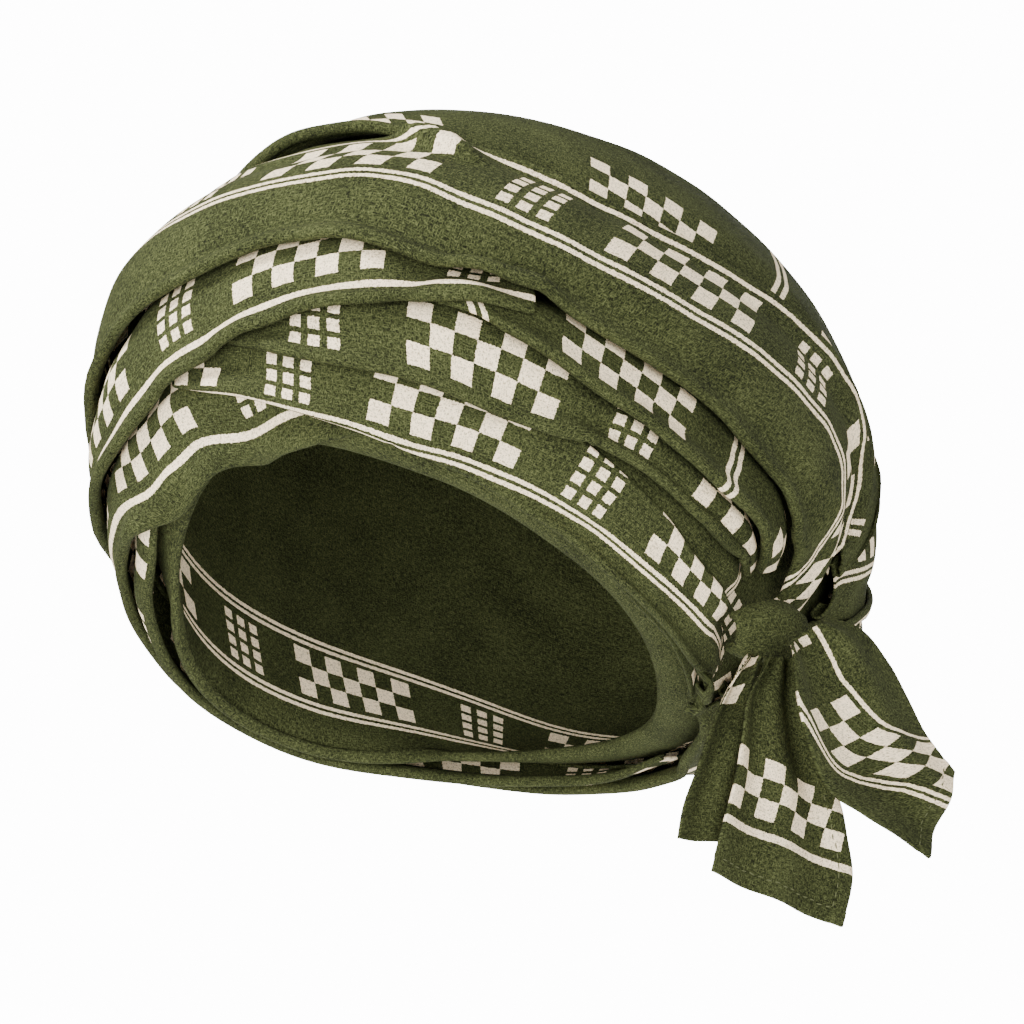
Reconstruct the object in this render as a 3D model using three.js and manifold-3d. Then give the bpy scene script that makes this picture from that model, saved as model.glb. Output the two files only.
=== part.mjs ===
// A head wrap: one long scarf wound round a hollow head and tied behind the left ear.
// Millimetres, +Z up along the head, the brow faces -Y, the wearer's left is +X,
// and the origin is the middle of the rim, where the head holds the wrap.
import * as THREE from 'three'
import Module from 'manifold-3d'

const solids = await Module()
solids.setup()

const wall = 2.2 // thickness of a stretch of folded cloth
const seam = 0.3 // space left between two stretches, along a line from the middle
const stationStep = 16 // length of one facet along a stretch
const cellAngle = 0.3 // degrees, step of the height map that each stretch lies on
const sampleStep = 0.65 // space between the points of a facet that are set on the height map
const liftRounds = 12 // tries at raising a stretch off the cloth below
const liftSlack = 0.02 // they end when no point is short by more than this
const liftMore = 1.02 // each lift goes a little past what a point is short by
const bridgeRounds = 2 // how far taut cloth bridges the dips along its length
// how a stretch swells between its edges: it starts at 'from' of a half wave and covers
// 'span' of it, 'low' moves the fullest place down and 'flat' broadens it
const crown = { from: 0.08, span: 0.8, low: 1.4, flat: 0.8 }
const ends = { start: 0.25, slope: 6 } // its fullness at both ends, and how fast it grows from there
const hem = 1 / 3 // share of a stretch's width in which tuck and dip push its edges in
const upperOut = 0.35 // share of 'out' that a stretch's upper edge follows
const cloth = { green: 0x50532f, shade: 0x464a2b, lit: 0x62673f }

// The wound bulk is an egg: half sizes, middle and a slight nod.
const egg = { middle: [13, 35, 49], side: 126, long: 162, tall: 132, nod: -2 }

// The rim seen from the middle of the egg: turn is 0 at the brow and 90 at the left ear,
// rise is the angle above the level of the middle, reach is the distance.
const rim = [
  { turn: 0, rise: -8, reach: 121 },
  { turn: 30, rise: -17, reach: 106 },
  { turn: 60, rise: -33, reach: 92 },
  { turn: 90, rise: -46, reach: 92 },
  { turn: 120, rise: -54, reach: 97 },
  { turn: 150, rise: -56, reach: 102 },
  { turn: 180, rise: -55, reach: 105 },
  { turn: 210, rise: -52, reach: 108 },
  { turn: 240, rise: -47, reach: 115 },
  { turn: 270, rise: -41, reach: 125 },
  { turn: 300, rise: -32, reach: 129 },
  { turn: 330, rise: -20, reach: 124 },
]
const rollSpan = 42 // degrees of rise in which the bulk swells from the rim to the egg
const rollPower = 2.2 // how soon it swells
// the first wrap lies this deep in the bulk, and its rings stand closer near the rim
const cap = { depth: 18, turns: 44, rises: 13, topRise: 84, ringPower: 1.5 }

// Each stretch, from the innermost to the outermost. A row is a section across it:
// its upper and lower edge, each as turn and rise. puff is how far the middle of the
// stretch stands off the edges, sink how deep it lies in the bulk, tuck how much deeper tuck how much deeper its
// upper edge is pushed in, dip the same for its lower edge, out how far a row stands off the
// cloth below, and fill how much thicker than the wall a tied stretch is.
const stretches = [
  { name: 'rim_roll', sink: 12, puff: 9, tuck: 3, across: 6, tint: 'green', rows: [
    { upTurn: 48, upRise: -20, lowTurn: 50, lowRise: -24 },
    { upTurn: 60, upRise: -24, lowTurn: 62, lowRise: -30 },
    { upTurn: 73, upRise: -30, lowTurn: 76, lowRise: -37 },
    { upTurn: 86, upRise: -36, lowTurn: 90, lowRise: -42 },
    { upTurn: 100, upRise: -42, lowTurn: 106, lowRise: -47 },
    { upTurn: 112, upRise: -47, lowTurn: 118, lowRise: -50 },
  ] },
  { name: 'far_roll', sink: 8, puff: 6, tuck: 2, across: 6, tint: 'shade', rows: [
    { upTurn: -13, upRise: -5, lowTurn: -12, lowRise: -9, out: 0 },
    { upTurn: -21, upRise: -8, lowTurn: -20, lowRise: -12, out: 1 },
    { upTurn: -30, upRise: -12, lowTurn: -29, lowRise: -17.5, out: 3 },
    { upTurn: -40, upRise: -15, lowTurn: -40, lowRise: -22.5, out: 5 },
    { upTurn: -57, upRise: -20, lowTurn: -58, lowRise: -29.5, out: 6 },
    { upTurn: -82, upRise: -28, lowTurn: -82, lowRise: -37.5, out: 6 },
    { upTurn: -110, upRise: -34, lowTurn: -110, lowRise: -43.5, out: 5 },
    { upTurn: -140, upRise: -40, lowTurn: -140, lowRise: -49, out: 3 },
    { upTurn: -170, upRise: -45, lowTurn: -170, lowRise: -52, out: 2 },
    { upTurn: -195, upRise: -48, lowTurn: -195, lowRise: -52, out: 0 },
  ] },
  { name: 'brow_band', sink: 8, puff: 9, tuck: 3, across: 7, tint: 'green', rows: [
    { upTurn: 30, upRise: -5, lowTurn: 27, lowRise: -9 },
    { upTurn: 19, upRise: -1, lowTurn: 17, lowRise: -9 },
    { upTurn: 8, upRise: 3, lowTurn: 7, lowRise: -9 },
    { upTurn: -5, upRise: 4, lowTurn: -4, lowRise: -9 },
    { upTurn: -16, upRise: 2, lowTurn: -16, lowRise: -13, out: 2 },
    { upTurn: -27, upRise: 0, lowTurn: -27, lowRise: -15, out: 5 },
    { upTurn: -40, upRise: -3, lowTurn: -41, lowRise: -18, out: 9 },
    { upTurn: -56, upRise: -7, lowTurn: -58, lowRise: -25, out: 12 },
    { upTurn: -82, upRise: -13, lowTurn: -82, lowRise: -33, out: 12 },
    { upTurn: -110, upRise: -17, lowTurn: -110, lowRise: -38.5, out: 10 },
    { upTurn: -140, upRise: -22, lowTurn: -140, lowRise: -44, out: 7 },
    { upTurn: -170, upRise: -27, lowTurn: -170, lowRise: -48, out: 4 },
    { upTurn: -197, upRise: -33, lowTurn: -197, lowRise: -50, out: 2 },
    { upTurn: -222, upRise: -40, lowTurn: -222, lowRise: -50 },
    { upTurn: -234, upRise: -44, lowTurn: -234, lowRise: -50 },
  ] },
  { name: 'plump_roll', sink: 5, puff: 11, tuck: 2, across: 7, tint: 'green', rows: [
    { upTurn: 46, upRise: -6, lowTurn: 45, lowRise: -11 },
    { upTurn: 54, upRise: -8, lowTurn: 53, lowRise: -16 },
    { upTurn: 63, upRise: -10, lowTurn: 62, lowRise: -21 },
    { upTurn: 74, upRise: -14, lowTurn: 70, lowRise: -26 },
    { upTurn: 84, upRise: -18, lowTurn: 78, lowRise: -30 },
    { upTurn: 93, upRise: -23, lowTurn: 87, lowRise: -33 },
    { upTurn: 98, upRise: -28, lowTurn: 94, lowRise: -34 },
  ] },
  { name: 'lower_band', sink: 5, puff: 11, tuck: 2, across: 8, tint: 'green', rows: [
    { upTurn: -6, upRise: 5, lowTurn: -6, lowRise: 1 },
    { upTurn: 7, upRise: 6, lowTurn: 7, lowRise: -3 },
    { upTurn: 20, upRise: 3, lowTurn: 18, lowRise: -7 },
    { upTurn: 32, upRise: 0, lowTurn: 28, lowRise: -11 },
    { upTurn: 42, upRise: -5, lowTurn: 38, lowRise: -15 },
    { upTurn: 53, upRise: -11, lowTurn: 48, lowRise: -21 },
    { upTurn: 63, upRise: -17, lowTurn: 58, lowRise: -27 },
    { upTurn: 72, upRise: -22, lowTurn: 71, lowRise: -34 },
    { upTurn: 80, upRise: -27, lowTurn: 83, lowRise: -39 },
    { upTurn: 90, upRise: -31, lowTurn: 98, lowRise: -44 },
    { upTurn: 97, upRise: -35, lowTurn: 106, lowRise: -45 },
    { upTurn: 104, upRise: -38, lowTurn: 115, lowRise: -49 },
    { upTurn: 110, upRise: -41, lowTurn: 122, lowRise: -51 },
  ] },
  { name: 'middle_band', sink: 4, puff: 11, tuck: 2, across: 7, tint: 'lit', rows: [
    { upTurn: 4, upRise: 8, lowTurn: 5, lowRise: 4 },
    { upTurn: 17, upRise: 10, lowTurn: 17, lowRise: 0 },
    { upTurn: 30, upRise: 10, lowTurn: 30, lowRise: -3 },
    { upTurn: 44, upRise: 7, lowTurn: 41, lowRise: -7 },
    { upTurn: 55, upRise: 1, lowTurn: 51, lowRise: -11 },
    { upTurn: 66, upRise: -5, lowTurn: 62, lowRise: -13 },
    { upTurn: 79, upRise: -11, lowTurn: 74, lowRise: -18 },
    { upTurn: 91, upRise: -17, lowTurn: 86, lowRise: -22 },
    { upTurn: 100, upRise: -24, lowTurn: 97, lowRise: -27 },
  ] },
  { name: 'upper_band', sink: 3, puff: 11, tuck: 2, across: 7, tint: 'green', rows: [
    { upTurn: 32, upRise: 10, lowTurn: 34, lowRise: 6 },
    { upTurn: 45, upRise: 10, lowTurn: 45, lowRise: 2 },
    { upTurn: 58, upRise: 6, lowTurn: 55, lowRise: -4 },
    { upTurn: 73, upRise: 1, lowTurn: 67, lowRise: -10 },
    { upTurn: 86, upRise: -5, lowTurn: 80, lowRise: -16 },
    { upTurn: 98, upRise: -12, lowTurn: 93, lowRise: -20 },
    { upTurn: 106, upRise: -22, lowTurn: 101, lowRise: -25 },
  ] },
  { name: 'side_band', sink: 2, puff: 11, tuck: 2, across: 7, tint: 'lit', rows: [
    { upTurn: 47, upRise: 9, lowTurn: 47, lowRise: 5 },
    { upTurn: 36, upRise: 14, lowTurn: 35, lowRise: 6 },
    { upTurn: 25, upRise: 18, lowTurn: 25, lowRise: 6 },
    { upTurn: 14, upRise: 19, lowTurn: 14, lowRise: 5 },
    { upTurn: 4, upRise: 18, lowTurn: 4, lowRise: 3 },
    { upTurn: -7, upRise: 16, lowTurn: -6, lowRise: 1 },
    { upTurn: -19, upRise: 12, lowTurn: -21, lowRise: -4 },
    { upTurn: -38, upRise: 7, lowTurn: -38, lowRise: -8, out: 3 },
    { upTurn: -62, upRise: 2, lowTurn: -62, lowRise: -13, out: 5 },
    { upTurn: -90, upRise: -4, lowTurn: -90, lowRise: -19, out: 5 },
    { upTurn: -120, upRise: -10, lowTurn: -120, lowRise: -25, out: 3 },
    { upTurn: -150, upRise: -14, lowTurn: -150, lowRise: -31 },
    { upTurn: -180, upRise: -19, lowTurn: -180, lowRise: -36 },
    { upTurn: -207, upRise: -25, lowTurn: -205, lowRise: -41 },
    { upTurn: -228, upRise: -33, lowTurn: -224, lowRise: -44 },
    { upTurn: -240, upRise: -38, lowTurn: -237, lowRise: -45 },
  ] },
  { name: 'back_band', sink: 5, puff: 9, tuck: 2, across: 7, tint: 'shade', rows: [
    { upTurn: 128, upRise: -16, lowTurn: 129, lowRise: -24 },
    { upTurn: 137, upRise: 2, lowTurn: 143, lowRise: -16 },
    { upTurn: 148, upRise: 17, lowTurn: 158, lowRise: -8 },
    { upTurn: 165, upRise: 28, lowTurn: 175, lowRise: -1 },
    { upTurn: 185, upRise: 33, lowTurn: 193, lowRise: 4 },
    { upTurn: 207, upRise: 34, lowTurn: 212, lowRise: 6 },
    { upTurn: 229, upRise: 32, lowTurn: 232, lowRise: 9 },
    { upTurn: 251, upRise: 29, lowTurn: 252, lowRise: 11 },
    { upTurn: 272, upRise: 24, lowTurn: 271, lowRise: 15 },
  ] },
  { name: 'crown_band', sink: 4, puff: 9, tuck: 2, across: 7, tint: 'green', rows: [
    { upTurn: 123, upRise: -12, lowTurn: 127, lowRise: -17 },
    { upTurn: 128, upRise: 12, lowTurn: 137, lowRise: -1 },
    { upTurn: 137, upRise: 32, lowTurn: 149, lowRise: 13 },
    { upTurn: 152, upRise: 48, lowTurn: 167, lowRise: 23 },
    { upTurn: 176, upRise: 59, lowTurn: 187, lowRise: 28 },
    { upTurn: 206, upRise: 63, lowTurn: 208, lowRise: 29 },
    { upTurn: 236, upRise: 60, lowTurn: 231, lowRise: 28 },
    { upTurn: 262, upRise: 51, lowTurn: 254, lowRise: 26 },
    { upTurn: 282, upRise: 38, lowTurn: 276, lowRise: 23 },
  ] },
  { name: 'tucked_band', sink: 8, puff: 6, tuck: 2, across: 6, tint: 'green', rows: [
    { upTurn: 38, upRise: 37, lowTurn: 37, lowRise: 31 },
    { upTurn: 26, upRise: 43, lowTurn: 24, lowRise: 32 },
    { upTurn: 10, upRise: 48, lowTurn: 8, lowRise: 32 },
    { upTurn: -12, upRise: 49, lowTurn: -12, lowRise: 30 },
    { upTurn: -38, upRise: 46, lowTurn: -37, lowRise: 26 },
    { upTurn: -63, upRise: 40, lowTurn: -62, lowRise: 21 },
    { upTurn: -86, upRise: 31, lowTurn: -86, lowRise: 17 },
  ] },
  { name: 'top_band', sink: 3, puff: 9, tuck: 2, dip: 6, across: 8, tint: 'green', rows: [
    { upTurn: 125, upRise: -12, lowTurn: 117, lowRise: -15 },
    { upTurn: 131, upRise: 8, lowTurn: 118, lowRise: -1 },
    { upTurn: 136, upRise: 27, lowTurn: 108, lowRise: 4 },
    { upTurn: 139, upRise: 46, lowTurn: 90, lowRise: 11 },
    { upTurn: 138, upRise: 64, lowTurn: 72, lowRise: 17 },
    { upTurn: 110, upRise: 80, lowTurn: 56, lowRise: 25 },
    { upTurn: -20, upRise: 80, lowTurn: 40, lowRise: 29 },
    { upTurn: -50, upRise: 67, lowTurn: 24, lowRise: 38 },
    { upTurn: -66, upRise: 55, lowTurn: 2, lowRise: 42 },
    { upTurn: -80, upRise: 45, lowTurn: -30, lowRise: 41 },
    { upTurn: -92, upRise: 34, lowTurn: -60, lowRise: 33 },
    { upTurn: -100, upRise: 23, lowTurn: -84, lowRise: 23 },
  ] },
  { name: 'main_band', sink: -1, puff: 12, tuck: 3, across: 8, tint: 'green', rows: [
    { upTurn: 117, upRise: -28, lowTurn: 111, lowRise: -30 },
    { upTurn: 120, upRise: -10, lowTurn: 107, lowRise: -21 },
    { upTurn: 121, upRise: 5, lowTurn: 99, lowRise: -16 },
    { upTurn: 112, upRise: 14, lowTurn: 89, lowRise: -10 },
    { upTurn: 98, upRise: 20.5, lowTurn: 76, lowRise: -3 },
    { upTurn: 82, upRise: 24.5, lowTurn: 63, lowRise: 2 },
    { upTurn: 64, upRise: 29.5, lowTurn: 49, lowRise: 7 },
    { upTurn: 46, upRise: 35, lowTurn: 35, lowRise: 10 },
    { upTurn: 28, upRise: 37, lowTurn: 20, lowRise: 14 },
    { upTurn: 8, upRise: 35, lowTurn: 3, lowRise: 12 },
    { upTurn: -14, upRise: 34, lowTurn: -14, lowRise: 9 },
    { upTurn: -38, upRise: 29, lowTurn: -36, lowRise: 4 },
    { upTurn: -66, upRise: 23, lowTurn: -64, lowRise: -2 },
    { upTurn: -96, upRise: 18, lowTurn: -94, lowRise: -8 },
    { upTurn: -128, upRise: 14, lowTurn: -127, lowRise: -14 },
    { upTurn: -160, upRise: 9, lowTurn: -160, lowRise: -18 },
    { upTurn: -190, upRise: 2, lowTurn: -190, lowRise: -23 },
    { upTurn: -213, upRise: -13, lowTurn: -213, lowRise: -31 },
    { upTurn: -228, upRise: -24, lowTurn: -227, lowRise: -37 },
    { upTurn: -237, upRise: -31, lowTurn: -237, lowRise: -39 },
  ] },
  { name: 'knot', sink: 0, puff: 7, tuck: 2, across: 6, fill: 5, tint: 'shade', rows: [
    { upTurn: 96, upRise: -34, lowTurn: 100, lowRise: -39 },
    { upTurn: 100, upRise: -31, lowTurn: 104, lowRise: -38 },
    { upTurn: 104, upRise: -29, lowTurn: 108, lowRise: -36.5 },
    { upTurn: 108, upRise: -28, lowTurn: 112, lowRise: -34 },
    { upTurn: 111, upRise: -28, lowTurn: 114, lowRise: -31.5 },
  ] },
]

// The hanging ends. Each sheet hangs from the knot in an upright plane, turned to face a
// little before the left ear. A row is a section across a tail: the place of its left and
// right edge along the plane and down from the knot, and how far it stands out of it.
const knotPlace = [119, 57, -17]
const tailWall = 2
const tailSeat = 0.35 // space between the knot and a tail that comes out of it
const tailGrid = { rows: 12, columns: 9 }
const flatter = 0.45 // share of a tail's folds that is gone at its hem
const tails = [
  { name: 'tail_left', facing: 75, folds: 1.5, fold: 3, rows: [
    { leftAlong: -3, leftDrop: 6, rightAlong: 1, rightDrop: 6, out: -9 },
    { leftAlong: -11, leftDrop: 16, rightAlong: -3, rightDrop: 15, out: -8 },
    { leftAlong: -18, leftDrop: 27, rightAlong: -4, rightDrop: 26, out: -9 },
    { leftAlong: -25, leftDrop: 40, rightAlong: -6, rightDrop: 38, out: -8 },
    { leftAlong: -30, leftDrop: 53, rightAlong: -9, rightDrop: 51, out: -8 },
    { leftAlong: -35, leftDrop: 65, rightAlong: -12, rightDrop: 63, out: -8 },
    { leftAlong: -38, leftDrop: 76, rightAlong: -16, rightDrop: 75, out: -7 },
  ] },
  { name: 'tail_middle', facing: 75, folds: 2, fold: 4, rows: [
    { leftAlong: -1, leftDrop: 5, rightAlong: 6, rightDrop: 4, out: -3 },
    { leftAlong: -8, leftDrop: 17, rightAlong: 7, rightDrop: 15, out: 0 },
    { leftAlong: -15, leftDrop: 28, rightAlong: 9, rightDrop: 26, out: 0 },
    { leftAlong: -17, leftDrop: 42, rightAlong: 14, rightDrop: 44, out: -1 },
    { leftAlong: -20, leftDrop: 56, rightAlong: 22, rightDrop: 58, out: -1 },
    { leftAlong: -25, leftDrop: 71, rightAlong: 25, rightDrop: 70, out: -1 },
    { leftAlong: -29, leftDrop: 81, rightAlong: 26, rightDrop: 84, out: 0 },
    { leftAlong: -31, leftDrop: 87, rightAlong: 21, rightDrop: 100, out: 0 },
  ] },
  { name: 'tail_right', facing: 80, folds: 1.5, fold: 6, rows: [
    { leftAlong: -1, leftDrop: 5, rightAlong: 9, rightDrop: -5, out: 2 },
    { leftAlong: -7, leftDrop: 19, rightAlong: 27, rightDrop: -1, out: 11 },
    { leftAlong: -5, leftDrop: 36, rightAlong: 40, rightDrop: 9, out: 12 },
    { leftAlong: 6, leftDrop: 57, rightAlong: 50, rightDrop: 20, out: 11 },
    { leftAlong: 24, leftDrop: 64, rightAlong: 58, rightDrop: 30, out: 10 },
    { leftAlong: 40, leftDrop: 69, rightAlong: 65, rightDrop: 37, out: 10 },
    { leftAlong: 53, leftDrop: 75, rightAlong: 70, rightDrop: 43, out: 11 },
  ] },
]

const degree = Math.PI / 180
const middle = new THREE.Vector3(...egg.middle)

function smooth(list, at) {
  // a smooth line through evenly spaced numbers, open at both ends
  const last = list.length - 1
  const i = Math.min(Math.floor(at), last - 1)
  const t = at - i
  const [a, b, c, d] = [-1, 0, 1, 2].map((k) => list[Math.min(Math.max(i + k, 0), last)])
  return 0.5 * (2 * b + (c - a) * t + (2 * a - 5 * b + 4 * c - d) * t * t + (3 * b - a - 3 * c + d) * t ** 3)
}

function rimAt(turn) {
  // the rim closes on itself, so its table is read in a ring with one spare row each side
  const step = 360 / rim.length
  const place = (((turn % 360) + 360) % 360) / step
  const i = Math.floor(place)
  const near = [-1, 0, 1, 2].map((k) => rim[(i + k + rim.length) % rim.length])
  return {
    rise: smooth(near.map((row) => row.rise), 1 + place - i),
    reach: smooth(near.map((row) => row.reach), 1 + place - i),
  }
}

function towards(turn, rise) {
  const [t, r] = [turn * degree, rise * degree]
  return new THREE.Vector3(Math.sin(t) * Math.cos(r), -Math.cos(t) * Math.cos(r), Math.sin(r))
}

function eggReach(dir, depth) {
  const nod = egg.nod * degree
  const y = dir.y * Math.cos(nod) + dir.z * Math.sin(nod)
  const z = -dir.y * Math.sin(nod) + dir.z * Math.cos(nod)
  return 1 / Math.hypot(dir.x / (egg.side - depth), y / (egg.long - depth), z / (egg.tall - depth))
}

function bulk(dir, depth) {
  // the bulk swells from the rim like a roll, and is the egg above that
  const turn = Math.atan2(dir.x, -dir.y) / degree
  const rise = Math.asin(THREE.MathUtils.clamp(dir.z, -1, 1)) / degree
  const edge = rimAt(turn)
  const up = THREE.MathUtils.clamp((rise - edge.rise) / rollSpan, 0, 1)
  const swell = Math.sqrt(1 - (1 - up) ** rollPower)
  const out = eggReach(dir, depth)
  return edge.reach + (out - edge.reach) * swell
}

// The height map: the outermost cloth so far, by direction from the middle of the egg.
// Its cells lie round the crown, so it is smooth all over the bulk.
const mapDegrees = 165 // how far the map reaches from the crown
const mapHalf = Math.ceil(mapDegrees / cellAngle)
const mapSide = 2 * mapHalf + 1
const heights = new Float32Array(mapSide * mapSide)

function cellOf(dir) {
  const polar = Math.acos(THREE.MathUtils.clamp(dir.z, -1, 1)) / degree / cellAngle
  const flat = Math.hypot(dir.x, dir.y) || 1
  return [mapHalf + (polar * dir.x) / flat, mapHalf + (polar * dir.y) / flat]
}

function heightBelow(dir) {
  const [u, v] = cellOf(dir).map(Math.floor)
  let top = 0
  for (let i = 0; i <= 1; i++) {
    for (let j = 0; j <= 1; j++) top = Math.max(top, heights[(u + i) * mapSide + v + j] ?? 0)
  }
  return top
}

function eachPoint(a, b, c, use) {
  // points close together all over a facet, with their shares of its corners
  const size = Math.max(a.distanceTo(b), b.distanceTo(c), c.distanceTo(a))
  const n = Math.max(2, Math.ceil(size / sampleStep))
  const point = new THREE.Vector3()
  for (let i = 0; i <= n; i++) {
    for (let j = 0; j <= n - i; j++) {
      const [p, q] = [i / n, j / n]
      point.set(0, 0, 0).addScaledVector(a, 1 - p - q).addScaledVector(b, p).addScaledVector(c, q)
      use(point, [1 - p - q, p, q])
    }
  }
}

function facets(rows, columns, closed) {
  // corners of the two facets of each cell of a grid, closed in a ring if asked
  const list = []
  for (let i = 0; i < rows - (closed ? 0 : 1); i++) {
    for (let j = 0; j < columns - 1; j++) {
      const [a, b] = [i * columns + j, ((i + 1) % rows) * columns + j]
      list.push([a, b, b + 1], [a, b + 1, a + 1])
    }
  }
  return list
}

function stamp(points, faces) {
  const ray = new THREE.Vector3()
  for (const [a, b, c] of faces) {
    eachPoint(points[a], points[b], points[c], (point) => {
      ray.copy(point).sub(middle)
      const reach = ray.length()
      const [u, v] = cellOf(ray.divideScalar(reach)).map(Math.round)
      const at = u * mapSide + v
      heights[at] = Math.max(heights[at], reach)
    })
  }
}

function lift(dirs, reaches, faces) {
  // raises the grid until every point of its facets is clear of the cloth below
  const point = dirs.map(() => new THREE.Vector3())
  const ray = new THREE.Vector3()
  for (let round = 0; round < liftRounds; round++) {
    dirs.forEach((dir, i) => point[i].copy(dir).multiplyScalar(reaches[i]))
    let worst = 0
    const need = new Float32Array(dirs.length)
    for (const face of faces) {
      eachPoint(...face.map((i) => point[i]), (at, share) => {
        const reach = at.length()
        const short = heightBelow(ray.copy(at).divideScalar(reach)) + seam - reach
        if (short <= 0) return
        worst = Math.max(worst, short)
        const weight = share[0] ** 2 + share[1] ** 2 + share[2] ** 2
        face.forEach((i, k) => { need[i] = Math.max(need[i], (short * share[k]) / weight) })
      })
    }
    need.forEach((more, i) => { reaches[i] += more * liftMore })
    if (worst < liftSlack) break
  }
}

function mesh(name, points, faces, tint) {
  const geometry = new THREE.BufferGeometry()
  geometry.setAttribute('position', new THREE.Float32BufferAttribute(points.flatMap((p) => p.toArray()), 3))
  geometry.setIndex(faces.flat())
  geometry.computeVertexNormals()
  const material = new THREE.MeshStandardMaterial({ color: cloth[tint], roughness: 0.95, metalness: 0 })
  const piece = new THREE.Mesh(geometry, material)
  piece.name = name
  return piece
}

function normals(points, faces) {
  const out = points.map(() => new THREE.Vector3())
  const [ab, ac] = [new THREE.Vector3(), new THREE.Vector3()]
  for (const [a, b, c] of faces) {
    ab.subVectors(points[b], points[a])
    ac.subVectors(points[c], points[a])
    ab.cross(ac)
    for (const i of [a, b, c]) out[i].add(ab)
  }
  return out.map((n) => n.normalize())
}

function sheet(name, inner, outer, rows, columns, tint, closed = false) {
  // a closed wall between two grids, the outer one facing out
  const n = inner.length
  const faces = facets(rows, columns, closed)
  const all = faces.map(([a, b, c]) => [a + n, b + n, c + n]).concat(faces.map(([a, b, c]) => [a, c, b]))
  const border = []
  const last = (rows - 1) * columns
  for (let i = 0; i < rows - (closed ? 0 : 1); i++) {
    const next = ((i + 1) % rows) * columns
    border.push([i * columns, next], [next + columns - 1, i * columns + columns - 1])
  }
  if (!closed) {
    for (let j = 0; j < columns - 1; j++) border.push([j + 1, j], [last + j, last + j + 1])
  }
  for (const [a, b] of border) all.push([a, b, b + n], [a, b + n, a + n])
  return mesh(name, inner.concat(outer), all, tint)
}

function makeCap() {
  // the first wrap: a bowl from the crown to the rim, closed at the crown by a fan
  const dirs = []
  for (let i = 0; i < cap.turns; i++) {
    const turn = (360 * i) / cap.turns
    const low = rimAt(turn).rise
    for (let j = 0; j < cap.rises; j++) {
      const rise = low + (cap.topRise - low) * (j / (cap.rises - 1)) ** cap.ringPower
      dirs.push(towards(turn, rise))
    }
  }
  const faces = facets(cap.turns, cap.rises, true)
  const outer = dirs.map((dir) => dir.clone().multiplyScalar(bulk(dir, cap.depth)).add(middle))
  const push = normals(outer, faces)
  const inner = outer.map((point, i) => point.clone().addScaledVector(push[i], -wall))
  stamp(outer, faces)
  const top = new THREE.Vector3(0, 0, bulk(new THREE.Vector3(0, 0, 1), cap.depth)).add(middle)
  const n = inner.length
  const points = inner.concat(outer, [top.clone().setZ(top.z - wall), top])
  const all = faces.map(([a, b, c]) => [a + n, b + n, c + n]).concat(faces.map(([a, b, c]) => [a, c, b]))
  const fan = []
  for (let i = 0; i < cap.turns; i++) {
    const [a, b] = [i * cap.rises, ((i + 1) % cap.turns) * cap.rises]
    const [c, d] = [a + cap.rises - 1, b + cap.rises - 1]
    all.push([b + n, a + n, a], [b + n, a, b])
    all.push([c + n, d + n, 2 * n + 1], [c, 2 * n, d])
    fan.push([c + n, d + n, 2 * n + 1])
  }
  stamp(points, fan)
  return mesh('cap', points, all, 'shade')
}

function bandGrid(band) {
  // directions over a stretch: evenly along its rows, and from its upper to its lower edge
  const up = band.rows.map((row) => towards(row.upTurn, row.upRise))
  const low = band.rows.map((row) => towards(row.lowTurn, row.lowRise))
  const edge = (list, at) => new THREE.Vector3(
    smooth(list.map((p) => p.x), at), smooth(list.map((p) => p.y), at), smooth(list.map((p) => p.z), at)).normalize()
  let long = 0
  for (let i = 1; i < up.length; i++) long += 0.5 * (up[i].angleTo(up[i - 1]) + low[i].angleTo(low[i - 1]))
  const stations = Math.max(5, Math.ceil((long * (egg.side + egg.long) * 0.5) / stationStep) + 1)
  const grid = []
  for (let i = 0; i < stations; i++) {
    const at = (i / (stations - 1)) * (band.rows.length - 1)
    const [a, b] = [edge(up, at), edge(low, at)]
    const out = smooth(band.rows.map((row) => row.out ?? 0), at)
    for (let j = 0; j < band.across; j++) {
      const w = (1 - Math.cos((Math.PI * j) / (band.across - 1))) / 2
      const even = j / (band.across - 1)
      const down = 0.5 * (w + even)
      grid.push({ dir: a.clone().lerp(b, down).normalize(), along: i / (stations - 1), down, out })
    }
  }
  return { grid, stations }
}

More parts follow.
